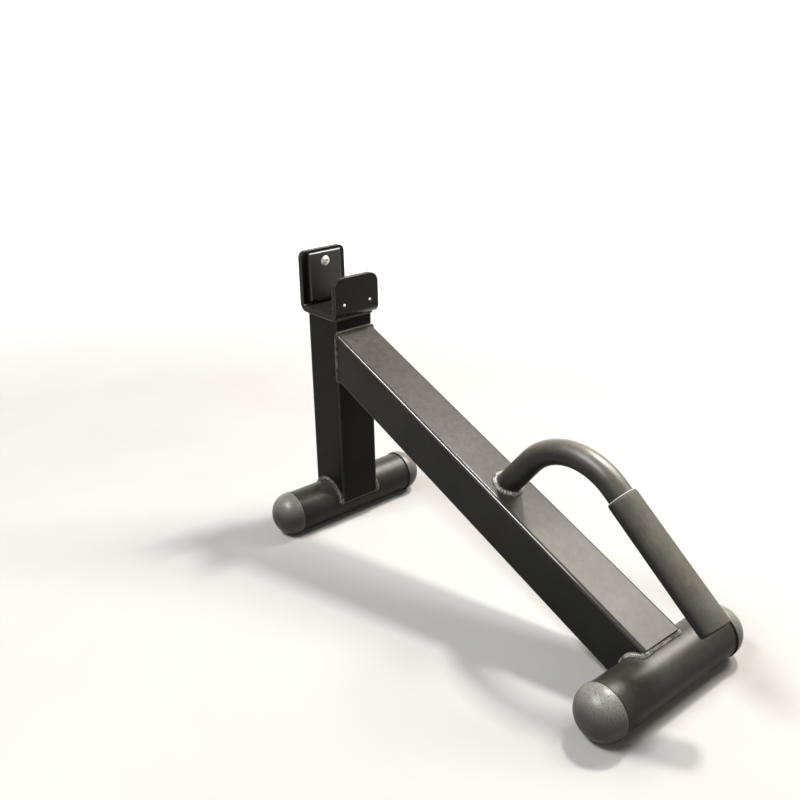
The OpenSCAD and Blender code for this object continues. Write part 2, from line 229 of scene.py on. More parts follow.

# %% [markdown]
# ## Powder-coated steel
# Powder coat is polyester baked on at about 0.08 mm thick. It levels out as it melts, but not
# wholly, so a black coat has a faint orange peel and soft, wide reflections. It rounds every
# edge, which the sharp CAD solids don't show: a Bevel node bends the light there as if each
# edge had that round.
# One shader with one gloss could stand for it, but a used coat has two. The pigmented base is
# dull, and a skin of clear resin lies over it where rubbing has polished it: on corners, and on
# what faces up. Gym dust settles on the same tops, and its pale is also painted sheen, which
# makes what faces up lighter as the lamps above would. The steel pieces differ only in how
# worn, dusty, sheen-painted and glossy they are, so one function makes all their coats. The
# beam's corners are the most rubbed, the post's less, the handle has the most dust and painted
# sheen above, and the cradle is glossy.

# %% Powder coat
PEEL_MM = 1.6
PEEL_DEPTH_MM = 0.012
# Real dust is too fine to show, so its grains are drawn as drifts this wide.
DRIFT_MM = 8
COAT_IOR = 1.5
# A rounded corner's middle gives this value in the measure below, and a flat gives 0.
CORNER_MIDDLE = 0.25


def powder_coat(
        name, shade, patch_shade, patch_mm, roughness, shine, skin, rubbed_ways, dust_and_sheen, edge_mm):
    """shine: how strongly the base reflects, from 0 to 0.5 for full.
    skin: how much resin lies on the flats, on rubbed corners and on tops, and its roughness.
    rubbed_ways: how much the corners that turn towards X, Y and Z count.
    dust_and_sheen: how much dust and painted sheen lighten a level top. edge_mm: the radius that
    the coat gives an edge."""
    flat_skin, corner_skin, top_skin, skin_haze = skin
    material, tree, surface, place = new_material(name)
    patches = add_node(tree, "ShaderNodeTexNoise", {
        "Vector": place, "Scale": per_metre(patch_mm), "Detail": 5.0, "Roughness": 0.6})
    tone = add_node(tree, "ShaderNodeMapRange", {
        "Value": patches.outputs["Fac"], "From Min": 0.35, "From Max": 0.65})
    coat = add_node(tree, "ShaderNodeMix", {
        "Factor": tone.outputs["Result"],
        COLOUR_A: linear(shade), COLOUR_B: linear(patch_shade)}, data_type="RGBA")

    # Dust lies on what faces up, in drifts of uneven thickness. Its pale is also painted sheen:
    # it makes what faces up lighter, as the lamps above would.
    facing = add_node(tree, "ShaderNodeNewGeometry")
    height = add_node(tree, "ShaderNodeSeparateXYZ", {0: facing.outputs["Normal"]})
    grains = add_node(tree, "ShaderNodeTexNoise", {
        "Vector": place, "Scale": per_metre(DRIFT_MM), "Detail": 8.0, "Roughness": 0.85})
    dust_and_sheen_on_top = add_node(tree, "ShaderNodeMapRange", {
        "Value": height.outputs["Z"], "From Min": 0.1, "From Max": 1.0, "To Max": dust_and_sheen})
    drifts = add_node(tree, "ShaderNodeMapRange", {
        "Value": grains.outputs["Fac"], "From Min": 0.15, "From Max": 0.85})
    dust_and_light_cover = add_node(tree, "ShaderNodeMath", {
        0: dust_and_sheen_on_top.outputs["Result"], 1: drifts.outputs["Result"]}, operation="MULTIPLY")
    dusted_and_lit = add_node(tree, "ShaderNodeMix", {
        "Factor": dust_and_light_cover.outputs["Value"],
        COLOUR_A: coat.outputs[COLOUR_OUT], COLOUR_B: linear("#bcb3a1")}, data_type="RGBA")
    tree.links.new(dusted_and_lit.outputs[COLOUR_OUT], surface.inputs["Base Color"])

    gloss = add_node(tree, "ShaderNodeMapRange", {
        "Value": patches.outputs["Fac"], "From Min": 0.3, "From Max": 0.7,
        "To Min": roughness - 0.05, "To Max": roughness + 0.06})
    tree.links.new(gloss.outputs["Result"], surface.inputs["Roughness"])
    surface.inputs["IOR"].default_value = COAT_IOR
    surface.inputs["Specular IOR Level"].default_value = shine

    # With n for how far the rounded edge faces one way, n2 (1 - n2) is 0 on a flat that faces
    # that way or square to it, and a quarter in the middle of the corner between two flats,
    # where cloths and hands rub.
    round_edge = add_node(tree, "ShaderNodeBevel", {"Radius": edge_mm * MM}, samples=6)
    squared = add_node(tree, "ShaderNodeVectorMath", {
        0: round_edge.outputs["Normal"], 1: round_edge.outputs["Normal"]}, operation="MULTIPLY")
    rest = add_node(tree, "ShaderNodeVectorMath", {
        0: (1, 1, 1), 1: squared.outputs["Vector"]}, operation="SUBTRACT")
    corners = add_node(tree, "ShaderNodeVectorMath", {
        0: squared.outputs["Vector"], 1: rest.outputs["Vector"]}, operation="MULTIPLY")
    corner = add_node(tree, "ShaderNodeVectorMath", {
        0: corners.outputs["Vector"], 1: rubbed_ways}, operation="DOT_PRODUCT")
    rubbed = add_node(tree, "ShaderNodeMapRange", {
        "Value": corner.outputs["Value"], "From Max": CORNER_MIDDLE,
        "To Min": flat_skin, "To Max": corner_skin})
    topped = add_node(tree, "ShaderNodeMapRange", {
        "Value": height.outputs["Z"], "From Min": 0.2, "To Max": top_skin})
    polish = add_node(tree, "ShaderNodeMath", {
        0: rubbed.outputs["Result"], 1: topped.outputs["Result"]},
        operation="ADD", use_clamp=True)
    tree.links.new(polish.outputs["Value"], surface.inputs["Coat Weight"])
    surface.inputs["Coat Roughness"].default_value = skin_haze
    surface.inputs["Coat IOR"].default_value = COAT_IOR

    peel = add_node(tree, "ShaderNodeTexNoise", {
        "Vector": place, "Scale": per_metre(PEEL_MM), "Detail": 1.5})
    bump = add_node(tree, "ShaderNodeBump", {
        "Height": peel.outputs["Fac"], "Distance": PEEL_DEPTH_MM * MM,
        "Normal": round_edge.outputs["Normal"]})
    tree.links.new(bump.outputs["Normal"], surface.inputs["Normal"])
    return material


# %% Coats of the steel
beam_coat = powder_coat(
    "satin_powder_coat", "#10100e", "#191917", patch_mm=60, roughness=0.38, shine=0.13,
    skin=(0.0, 1.0, 0.08, 0.12), rubbed_ways=(1, 0, 0), dust_and_sheen=0.12, edge_mm=0.9)
post_coat = powder_coat(
    "satin_powder_coat_on_post", "#0b0b0a", "#121211", patch_mm=60, roughness=0.42, shine=0.06,
    skin=(0.0, 0.5, 0.08, 0.12), rubbed_ways=(1, 0, 0), dust_and_sheen=0.05, edge_mm=0.9)
foot_coat = powder_coat(
    "matt_powder_coat_on_feet", "#0f0f0d", "#1c1c19", patch_mm=30, roughness=0.45, shine=0.14,
    skin=(0.0, 0.0, 0.5, 0.42), rubbed_ways=(0, 0, 0), dust_and_sheen=0.12, edge_mm=0.9)
handle_coat = powder_coat(
    "matt_powder_coat_on_handle", "#0f0f0d", "#1e1e1b", patch_mm=30, roughness=0.45, shine=0.24,
    skin=(0.0, 0.0, 1.0, 0.42), rubbed_ways=(0, 0, 0), dust_and_sheen=0.3, edge_mm=0.9)
cradle_coat = powder_coat(
    "gloss_powder_coat", "#0a0a09", "#10100e", patch_mm=60, roughness=0.3, shine=0.12,
    skin=(0.08, 1.0, 0.0, 0.14), rubbed_ways=(0.5, 0.5, 0.5), dust_and_sheen=0.02, edge_mm=1.3)
print("coats:", beam_coat.name, post_coat.name, foot_coat.name)
print("coats:", handle_coat.name, cradle_coat.name)

# %% [markdown]
# ## Powder coat over a weld
# A weld's skin is uneven, so the coat on it is thick in some spots and thin in others, and
# wears through to grey there. That needs no new shader: the same function with small patches
# and a pale second shade gives it. The rear foot's and the handle's beads are the most worn.

# %% Coats of the beads
bead_coat = powder_coat(
    "powder_coat_over_weld", "#100f0e", "#4a4842", patch_mm=5, roughness=0.34, shine=0.26,
    skin=(0.2, 0.2, 0.2, 0.2), rubbed_ways=(0, 0, 0), dust_and_sheen=0.06, edge_mm=0.2)
worn_bead_coat = powder_coat(
    "worn_powder_coat_over_weld", "#1a1917", "#8d8a81", patch_mm=5, roughness=0.34, shine=0.5,
    skin=(0.4, 0.4, 0.4, 0.2), rubbed_ways=(0, 0, 0), dust_and_sheen=0.15, edge_mm=0.2)
print("on the beads:", bead_coat.name, worn_bead_coat.name)

# %% [markdown]
# ## Moulded rubber
# The caps are moulded from EPDM rubber filled with carbon black. Rubber has no clear gloss:
# its skin copies the sand-blasted mould. Floor dust settles in the pits of what faces up, and
# the same pale is also a painted highlight that makes the tops lighter, as the lamps above
# would. A dark line runs along the step between a cap's rim and its tube. Both could be
# painted in an image, but a mask made from the surface's own facing and place needs none, and
# fits all four.

# %% Cap rubber
RUBBER_IOR = 1.52
CLOUD_MM = 14
# A blasted mould's pits are about 0.2 mm wide. They are drawn coarser, so that they show.
PIT_MM = 0.9
PIT_DEPTH_MM = 0.08
# A dark line runs along each cap's rim, from this far past the rim to this far.
RIM_LINE_FROM_MM = 0.6
RIM_LINE_TO_MM = 1.3
rim_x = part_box("front_foot_tube")[1].x
print("cap rims at", round(rim_x / MM, 1), "mm either side")


def cap_rubber():
    material, tree, surface, place = new_material("moulded_epdm_rubber")
    clouds = add_node(tree, "ShaderNodeTexNoise", {
        "Vector": place, "Scale": per_metre(CLOUD_MM), "Detail": 6.0, "Roughness": 0.65})
    base = add_node(tree, "ShaderNodeMix", {
        "Factor": clouds.outputs["Fac"],
        COLOUR_A: linear("#1b1a18"), COLOUR_B: linear("#32312d")}, data_type="RGBA")

    # Rubber holds dust where it faces up, in the pits of its skin. The pale there is also a
    # painted highlight on what faces up.
    facing = add_node(tree, "ShaderNodeNewGeometry")
    height = add_node(tree, "ShaderNodeSeparateXYZ", {0: facing.outputs["Normal"]})
    dust_and_highlight_up_side = add_node(tree, "ShaderNodeMapRange", {
        "Value": height.outputs["Z"], "From Min": 0.0, "From Max": 1.1},
        interpolation_type="SMOOTHSTEP")
    specks = add_node(tree, "ShaderNodeTexNoise", {
        "Vector": place, "Scale": per_metre(PIT_MM), "Detail": 6.0, "Roughness": 0.8})
    pits = add_node(tree, "ShaderNodeMapRange", {
        "Value": specks.outputs["Fac"], "From Min": 0.32, "From Max": 0.7})
    dust_and_light_cover = add_node(tree, "ShaderNodeMath", {
        0: dust_and_highlight_up_side.outputs["Result"], 1: pits.outputs["Result"]}, operation="MULTIPLY")
    dusted_and_lit = add_node(tree, "ShaderNodeMix", {
        "Factor": dust_and_light_cover.outputs["Value"],
        COLOUR_A: base.outputs[COLOUR_OUT], COLOUR_B: linear("#a19e95")}, data_type="RGBA")

    # A dark line runs along the fine step between the cap's rim and the tube.
    spot = add_node(tree, "ShaderNodeSeparateXYZ", {0: place})
    out_x = add_node(tree, "ShaderNodeMath", {0: spot.outputs["X"]}, operation="ABSOLUTE")
    rim_line = add_node(tree, "ShaderNodeMapRange", {
        "Value": out_x.outputs["Value"], "From Min": rim_x + RIM_LINE_FROM_MM * MM,
        "From Max": rim_x + RIM_LINE_TO_MM * MM, "To Min": 1.0, "To Max": 0.0})
    rim_lined = add_node(tree, "ShaderNodeMix", {
        "Factor": rim_line.outputs["Result"],
        COLOUR_A: dusted_and_lit.outputs[COLOUR_OUT], COLOUR_B: linear("#080807")}, data_type="RGBA")
    tree.links.new(rim_lined.outputs[COLOUR_OUT], surface.inputs["Base Color"])
    haze = add_node(tree, "ShaderNodeMapRange", {
        "Value": rim_line.outputs["Result"], "To Min": 0.36, "To Max": 0.95})
    tree.links.new(haze.outputs["Result"], surface.inputs["Roughness"])
    surface.inputs["IOR"].default_value = RUBBER_IOR
    surface.inputs["Specular IOR Level"].default_value = 0.38

    bump = add_node(tree, "ShaderNodeBump", {
        "Height": specks.outputs["Fac"], "Distance": PIT_DEPTH_MM * MM})
    tree.links.new(bump.outputs["Normal"], surface.inputs["Normal"])
    return material


rubber = cap_rubber()
print("caps:", rubber.name)

# %% [markdown]
# ## The grip's rubber
# The grip is a moulded rubber sleeve, closed at its lower end and pushed onto the tube. Drawing
# it out of the mould leaves fine lines along it. Its upper side is painted grey and its
# underside black: painted shading, lighter where the light falls from above. Its upper lip gets
# a painted highlight, a pale band where its thin edge catches the light. Plain noise would
# make spots, so the pattern is turned to lie the way the grip falls, and drawn out along it.

# %% Grip rubber
# The mould's lines are finer than this, and are drawn coarser so that they show.
LINE_MM = 0.7
# Squeezing the pattern's Y draws each line out to about seven times its width.
LINE_SQUEEZE = 0.15
LINE_DEPTH_MM = 0.05
GREY_CLOUD_MM = 25
GRIP_EDGE_MM = 0.6
# The lip's painted highlight is this wide.
LIP_HIGHLIGHT_MM = 0.9
GRIP_FALL = radians(40)
GRIP_WAY = Vector((0, -cos(GRIP_FALL), -sin(GRIP_FALL)))
grip_node = nodes["handle_grip"]
lip_at = min(GRIP_WAY.dot(grip_node.matrix_world @ point.co) for point in grip_node.data.vertices)


def grip_rubber():
    material, tree, surface, place = new_material("drawn_rubber_sleeve")
    # Once the place is turned, its Y runs along the grip.
    along = add_node(tree, "ShaderNodeMapping", {
        "Vector": place, "Rotation": (-GRIP_FALL, 0, 0)})
    drawn = add_node(tree, "ShaderNodeMapping", {
        "Vector": along.outputs["Vector"], "Scale": (1, LINE_SQUEEZE, 1)})
    lines = add_node(tree, "ShaderNodeTexNoise", {
        "Vector": drawn.outputs["Vector"], "Scale": per_metre(LINE_MM), "Detail": 4.0,
        "Roughness": 0.6})
    clouds = add_node(tree, "ShaderNodeTexNoise", {
        "Vector": place, "Scale": per_metre(GREY_CLOUD_MM), "Detail": 3.0, "Roughness": 0.6})
    mixed = add_node(tree, "ShaderNodeMath", {
        0: lines.outputs["Fac"], 1: clouds.outputs["Fac"]}, operation="MULTIPLY")
    shade = add_node(tree, "ShaderNodeMapRange", {
        "Value": mixed.outputs["Value"], "From Min": 0.05, "From Max": 0.47})
    black = add_node(tree, "ShaderNodeMix", {
        "Factor": shade.outputs["Result"],
        COLOUR_A: linear("#0f0f0d"), COLOUR_B: linear("#1d1c1a")}, data_type="RGBA")
    painted_lit_grey = add_node(tree, "ShaderNodeMix", {
        "Factor": shade.outputs["Result"],
        COLOUR_A: linear("#403e38"), COLOUR_B: linear("#625e55")}, data_type="RGBA")

    # Painted shading: the grey fades in from the sides to the top, and the underside stays black.
    facing = add_node(tree, "ShaderNodeNewGeometry")
    height = add_node(tree, "ShaderNodeSeparateXYZ", {0: facing.outputs["Normal"]})
    painted_light_top = add_node(tree, "ShaderNodeMapRange", {
        "Value": height.outputs["Z"], "From Min": -0.05, "From Max": 0.6})
    painted_shading = add_node(tree, "ShaderNodeMix", {
        "Factor": painted_light_top.outputs["Result"],
        COLOUR_A: black.outputs[COLOUR_OUT], COLOUR_B: painted_lit_grey.outputs[COLOUR_OUT]},
        data_type="RGBA")

    # Painted highlight: a pale band at the lip, which is where the reach along the grip is
    # smallest.
    reach = add_node(
        tree, "ShaderNodeVectorMath", {0: place, 1: GRIP_WAY}, operation="DOT_PRODUCT")
    lip_highlight = add_node(tree, "ShaderNodeMapRange", {
        "Value": reach.outputs["Value"], "From Min": lip_at, "From Max": lip_at + LIP_HIGHLIGHT_MM * MM,
        "To Min": 1.0, "To Max": 0.0})
    lip_highlighted = add_node(tree, "ShaderNodeMix", {
        "Factor": lip_highlight.outputs["Result"],
        COLOUR_A: painted_shading.outputs[COLOUR_OUT], COLOUR_B: linear("#c4c2ba")}, data_type="RGBA")
    tree.links.new(lip_highlighted.outputs[COLOUR_OUT], surface.inputs["Base Color"])
    surface.inputs["Roughness"].default_value = 0.7
    surface.inputs["IOR"].default_value = RUBBER_IOR
    surface.inputs["Specular IOR Level"].default_value = 0.2

    round_edge = add_node(tree, "ShaderNodeBevel", {"Radius": GRIP_EDGE_MM * MM}, samples=4)
    bump = add_node(tree, "ShaderNodeBump", {
        "Height": lines.outputs["Fac"], "Distance": LINE_DEPTH_MM * MM,
        "Normal": round_edge.outputs["Normal"]})
    tree.links.new(bump.outputs["Normal"], surface.inputs["Normal"])
    return material


sleeve = grip_rubber()
print("grip:", sleeve.name)

# %% [markdown]
# ## Liner plastic
# The liners are cut from black UHMW polyethylene sheet, the slippery plastic of chopping
# boards. Sawn and sanded, it has a satin face, fine scratches along the sheet, and cut edges
# that catch the light. It could be one flat black, but then a hard, smooth coat and this soft
# plastic would look alike, so the scratches also change how glossy it is from place to place.

# %% Liner plastic
POLYETHYLENE_IOR = 1.51
# Sanding scratches are near 0.1 mm wide, and are drawn coarser so that they show.
SCRATCH_MM = 0.8
# Squeezing the pattern's X draws each scratch out to 25 times its width.
SCRATCH_SQUEEZE = 0.04
SCRATCH_DEPTH_MM = 0.02
LINER_EDGE_MM = 0.5


def liner_plastic():
    material, tree, surface, place = new_material("uhmw_polyethylene")
    drawn = add_node(tree, "ShaderNodeMapping", {
        "Vector": place, "Scale": (SCRATCH_SQUEEZE, 1, 1)})
    scratches = add_node(tree, "ShaderNodeTexNoise", {
        "Vector": drawn.outputs["Vector"], "Scale": per_metre(SCRATCH_MM), "Detail": 3.0})
    base = add_node(tree, "ShaderNodeMix", {
        "Factor": scratches.outputs["Fac"],
        COLOUR_A: linear("#111110"), COLOUR_B: linear("#1f1f1d")}, data_type="RGBA")
    tree.links.new(base.outputs[COLOUR_OUT], surface.inputs["Base Color"])
    haze = add_node(tree, "ShaderNodeMapRange", {
        "Value": scratches.outputs["Fac"], "From Min": 0.3, "From Max": 0.7,
        "To Min": 0.3, "To Max": 0.44})
    tree.links.new(haze.outputs["Result"], surface.inputs["Roughness"])
    surface.inputs["IOR"].default_value = POLYETHYLENE_IOR

    round_edge = add_node(tree, "ShaderNodeBevel", {"Radius": LINER_EDGE_MM * MM}, samples=6)
    bump = add_node(tree, "ShaderNodeBump", {
        "Height": scratches.outputs["Fac"], "Distance": SCRATCH_DEPTH_MM * MM,
        "Normal": round_edge.outputs["Normal"]})
    tree.links.new(bump.outputs["Normal"], surface.inputs["Normal"])
    return material


liner = liner_plastic()
print("liners:", liner.name)

# %% [markdown]
# ## Zinc-plated steel
# The screws, the washer and the nut are steel with a thin coat of zinc from a bath. It is a
# real metal, so all its colour is in its shine, and its crystals leave a hazy, patchy bloom. A
# mirror with one gloss would flash like chrome, so the bloom changes both colour and gloss.

# %% Zinc plating
# The bloom's patches are finer than this, and are drawn coarser so that they show.
BLOOM_MM = 1.8
SCREW_EDGE_MM = 0.25


def zinc_plating():
    material, tree, surface, place = new_material("zinc_plated_steel")
    bloom = add_node(tree, "ShaderNodeTexNoise", {
        "Vector": place, "Scale": per_metre(BLOOM_MM), "Detail": 5.0, "Roughness": 0.7})
    base = add_node(tree, "ShaderNodeMix", {
        "Factor": bloom.outputs["Fac"],
        COLOUR_A: linear("#cfcdc7"), COLOUR_B: linear("#ebeae6")}, data_type="RGBA")
    tree.links.new(base.outputs[COLOUR_OUT], surface.inputs["Base Color"])
    haze = add_node(tree, "ShaderNodeMapRange", {
        "Value": bloom.outputs["Fac"], "From Min": 0.3, "From Max": 0.7,
        "To Min": 0.45, "To Max": 0.62})
    tree.links.new(haze.outputs["Result"], surface.inputs["Roughness"])
    surface.inputs["Metallic"].default_value = 1.0
    round_edge = add_node(tree, "ShaderNodeBevel", {"Radius": SCREW_EDGE_MM * MM}, samples=6)
    tree.links.new(round_edge.outputs["Normal"], surface.inputs["Normal"])
    return material


zinc = zinc_plating()
print("fasteners:", zinc.name)

# %% [markdown]
# ## Dress the solids
# Each CAD solid keeps its exact mesh and only changes its material. This could be done piece
# by piece, but a table that gives each finish its pieces is easier to read and to check. The
# plain welds get a coat too, though rippled beads take their place below.

# %% Finishes
FINISH = {
    beam_coat: ["main_beam"],
    post_coat: ["upright_post"],
    foot_coat: ["front_foot_tube", "rear_foot_tube"],
    handle_coat: ["handle_tube"],
    cradle_coat: ["cradle_bracket"],
    bead_coat: ["front_foot_weld", "rear_foot_weld", "beam_weld", "cradle_weld", "handle_weld"],
    rubber: ["front_left_cap", "front_right_cap", "rear_left_cap", "rear_right_cap"],
    sleeve: ["handle_grip"],
    liner: ["tall_liner", "short_liner"],
    zinc: ["tall_liner_screw", "tall_liner_washer", "tall_liner_nut",
           "short_liner_screw_left", "short_liner_screw_right"],
}


def dress(name, material):
    for slot in nodes[name].material_slots:
        slot.material = material
    print(name, "->", material.name)


for material, names in FINISH.items():
    for name in names:
        dress(name, material)

# %% [markdown]
# ## Where the welds run
# The welder lays each bead in the corner between two pieces of steel. The corners are found
# from the solids' own boxes, so the beads stay on them. What a box can't tell, the beam's slope
# and where its end and the handle's root lie, is given as it is in the CAD model. The beam has
# a frame of its own: a point is so far across, so far along the beam from the rear foot's
# axis, and so far above the beam's middle.

# %% Measures from the solids
BEAM_SLOPE = radians(23.7)
BEAM_END = 12.5 * MM
HANDLE_AT = 201.5 * MM
HANDLE_LEAN = radians(73.7)

front_low, front_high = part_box("front_foot_tube")
rear_low, rear_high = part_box("rear_foot_tube")
post_low, post_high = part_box("upright_post")
handle_low, handle_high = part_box("handle_tube")

FOOT_R = (front_high.z - front_low.z) / 2
AXIS_Z = (front_high.z + front_low.z) / 2
FRONT_Y = (front_high.y + front_low.y) / 2
REAR_Y = (rear_high.y + rear_low.y) / 2
TUBE_HALF = (post_high.x - post_low.x) / 2
HANDLE_R = (handle_high.x - handle_low.x) / 2


def on_beam(across, along, above):
    return Vector((
        across,
        REAR_Y + along * cos(BEAM_SLOPE) - above * sin(BEAM_SLOPE),
        AXIS_Z + along * sin(BEAM_SLOPE) + above * cos(BEAM_SLOPE)))


def beam_way(across, along, above):
    return on_beam(across, along, above) - on_beam(0, 0, 0)


print("foot radius:", round(FOOT_R / MM, 2), "mm, half tube:", round(TUBE_HALF / MM, 2), "mm")

# %% [markdown]
# ## Rippled beads
# A hand-laid weld freezes in small crescents, one for each move of the torch, about 2 mm
# apart. A bump texture could draw them, but it would leave the bead's outline smooth. So a
# bead is built by sweeping a ring of points along its path: the ring swells and shrinks with
# each crescent, and the swell lags at the bead's two toes, which bends it into a crescent.
# The path is a closed loop of key points, each with the way that the bead faces and its size.

# %% Sweep a bead along a loop
RIPPLE_MM = 2.3
RIPPLE_DEPTH = 0.2
TOE_LAG = 0.45
RING_STEP_MM = 0.35
RING_POINTS = 16
# The swell is measured from this, about the mean height of the ripples' arches.
MEAN_ARCH = 0.6
# The torch never moves quite evenly: the crescents' spacing drifts in a slow and a quick wave,
# and the bead's width wanders too. Each wave has a height, as a part of a crescent or of the
# bead's radius, and the millimetres of path that make one radian of it.
SLOW_DRIFT, SLOW_DRIFT_MM = 0.35, 23
QUICK_DRIFT, QUICK_DRIFT_MM = 0.22, 7.3
WANDER, WANDER_MM = 0.04, 11


def curve_point(a, b, c, d, part):
    """A point between b and c on the Catmull-Rom curve through a, b, c and d."""
    return 0.5 * (2 * b + (c - a) * part + (2 * a - 5 * b + 4 * c - d) * part ** 2
                  + (3 * b - a - 3 * c + d) * part ** 3)


def fine_loop(keys):
    """The loop's places, facings and sizes at even small steps."""
    fine = []
    count = len(keys)
    for i in range(count):
        around = [keys[(i + shift) % count] for shift in (-1, 0, 1, 2)]
        length = (around[2][0] - around[1][0]).length
        steps = max(1, round(length / (RING_STEP_MM * MM)))
        for step in range(steps):
            part = step / steps
            place = curve_point(*[key[0] for key in around], part)
            facing = around[1][1].lerp(around[2][1], part)
            size = around[1][2] + (around[2][2] - around[1][2]) * part
            fine.append((place, facing, size))
    return fine


def bead(name, keys, radius, coat):
    """keys: (place, way it faces, size), in order round a closed loop."""
    loop = fine_loop(keys)
    count = len(loop)
    points = []
    run = 0.0
    for i, (place, facing, size) in enumerate(loop):
        tangent = (loop[(i + 1) % count][0] - loop[i - 1][0]).normalized()
        outward = (facing - tangent * facing.dot(tangent)).normalized()
        sideways = tangent.cross(outward)
        run += (place - loop[i - 1][0]).length if i else 0.0
        slow = SLOW_DRIFT * sin(run / (SLOW_DRIFT_MM * MM))
        quick = QUICK_DRIFT * sin(run / (QUICK_DRIFT_MM * MM) + 1.0)
        wander = WANDER * sin(run / (WANDER_MM * MM))
        for corner in range(RING_POINTS):
            turn = 2 * pi * corner / RING_POINTS
            beat = run / (RIPPLE_MM * MM) + (slow + quick) - TOE_LAG * (1 - cos(turn))
            swell = abs(sin(pi * beat)) - MEAN_ARCH
            reach = radius * size * (1 + RIPPLE_DEPTH * swell + wander)
            points.append(place + reach * (cos(turn) * outward + sin(turn) * sideways))
    faces = []
    for i in range(count):
        here, there = i * RING_POINTS, (i + 1) % count * RING_POINTS
        for corner in range(RING_POINTS):
            after = (corner + 1) % RING_POINTS
            faces.append((here + corner, here + after, there + after, there + corner))
    piece = new_mesh(name, points, faces)
    piece.data.materials.append(coat)
    print(name, round(run / MM), "mm long,", len(faces), "faces")
    return piece


# %% [markdown]
# ## The feet's welds
# Each foot's bead climbs over the round tube on both sides and closes with a straight run in
# front and behind. On the rear foot, the torch pauses where a straight run turns the corner,
# and leaves a blob. On the front foot the straight runs are thin and the sides are fat. Four
# separate beads would each need an end cap, so one closed loop makes the whole seam.

# %% Bead between the post and the front foot
BEAD_R = 2.9 * MM
BLOB = 1.22
THIN = 0.4
FAT = 1.3
ARC_STEPS = 12
# A straight run stops this far short of the side walls, and its keys divide it up like this.
RUN_SHORT = 2.5 * MM
RUN_PARTS = (0.6, 0.2, -0.2, -0.6)
# The front foot's two straight runs lie this far inside the post's front and back.
FRONT_RUN_IN = 1.3 * MM


def seam_side(side, spread, along_foot, size=1.0):
    """One side of a foot's seam: an arc over the round tube, spread to each side of its top."""
    keys = []
    for step in range(ARC_STEPS + 1):
        angle = spread * (1 - 2 * step / ARC_STEPS) * side
        place, radial = along_foot(side, angle)
        keys.append((place, (radial + Vector((side, 0, 0))).normalized(), size))
    return keys


def on_front_foot(side, angle):
    radial = Vector((0, sin(angle), cos(angle)))
    return Vector((side * TUBE_HALF, FRONT_Y, AXIS_Z)) + FOOT_R * radial, radial


def straight_run(place, facing, side, size=1.0, blob=BLOB):
    """The straight run from one side wall to the other. blob is the size of its two ends."""
    half = TUBE_HALF - RUN_SHORT
    keys = [(place(side * half), facing, blob)]
    for part in RUN_PARTS:
        keys.append((place(side * half * part), facing, size))
    keys.append((place(-side * half), facing, blob))
    return keys


front_spread = radians(80)
wall_foot_y = TUBE_HALF - FRONT_RUN_IN
front_keys = (
    seam_side(1, front_spread, on_front_foot, FAT)
    + straight_run(lambda x: Vector((x, FRONT_Y - wall_foot_y, post_low.z)),
                   Vector((0, -1, 0)), 1, THIN, THIN)
    + seam_side(-1, front_spread, on_front_foot, FAT)
    + straight_run(lambda x: Vector((x, FRONT_Y + wall_foot_y, post_low.z)),
                   Vector((0, 1, 0)), -1, THIN, THIN))
front_bead = bead("front_foot_bead", front_keys, BEAD_R, bead_coat)

# %% Bead between the beam and the rear foot
# The rear foot's straight runs fill the gap at the beam's cut end. They lie this far inside
# its top and bottom and this far past its end, and lean this much towards the foot.
GAP_BEAD_IN = 5.2 * MM
GAP_BEAD_BACK = 0.7 * MM
GAP_BEAD_LEAN = 0.4


def on_rear_foot(side, angle):
    radial = beam_way(0, cos(angle), sin(angle))
    return on_beam(side * TUBE_HALF, 0, 0) + FOOT_R * radial, radial


rear_spread = radians(54)
gap_height = TUBE_HALF - GAP_BEAD_IN
gap_along = BEAM_END - GAP_BEAD_BACK
rear_keys = (
    seam_side(1, rear_spread, on_rear_foot)
    + straight_run(lambda x: on_beam(x, gap_along, -gap_height),
                   beam_way(0, -GAP_BEAD_LEAN, -1), 1)
    + seam_side(-1, rear_spread, on_rear_foot)
    + straight_run(lambda x: on_beam(x, gap_along, gap_height),
                   beam_way(0, -GAP_BEAD_LEAN, 1), -1))
rear_bead = bead("rear_foot_bead", rear_keys, BEAD_R, worn_bead_coat)

# %% [markdown]
# ## The upper welds
# The beam's upper end, the cradle and the handle's root each get a bead all round. The first
# two follow a rounded rectangle. They could be traced point by point, but the tube's own
# section gives the path, so one function lays it out in any plane.

# %% Rounded rectangle
TUBE_CORNER = 4 * MM
QUARTERS = ((1, 1), (-1, 1), (-1, -1), (1, -1))
CORNER_STEPS = 3


def rounded_rectangle(place, half_wide, half_high, corner):
    """Keys round the rectangle. place turns a flat spot and facing into ones in space."""
    keys = []
    for quarter, (su, sv) in enumerate(QUARTERS):
        for step in range(CORNER_STEPS + 1):
            angle = pi / 2 * (quarter + step / CORNER_STEPS)
            u = su * (half_wide - corner) + corner * cos(angle)
            v = sv * (half_high - corner) + corner * sin(angle)
            keys.append((*place(u, v, cos(angle), sin(angle)), 1.0))
        # Two more keys on the straight side keep the curve from bulging.
        nu, nv = QUARTERS[(quarter + 1) % 4]
        for part in (0.25, 0.75):
            if quarter % 2 == 0:
                u = (half_wide - corner) * (su + (nu - su) * part)
                v = sv * half_high
            else:
                u = su * half_wide
                v = (half_high - corner) * (sv + (nv - sv) * part)
            angle = pi / 2 * (quarter + 1)
            keys.append((*place(u, v, cos(angle), sin(angle)), 1.0))
    return keys


print("tube corner:", round(TUBE_CORNER / MM, 1), "mm")

# %% Beads at the post
UPPER_BEAD_R = 2.1 * MM
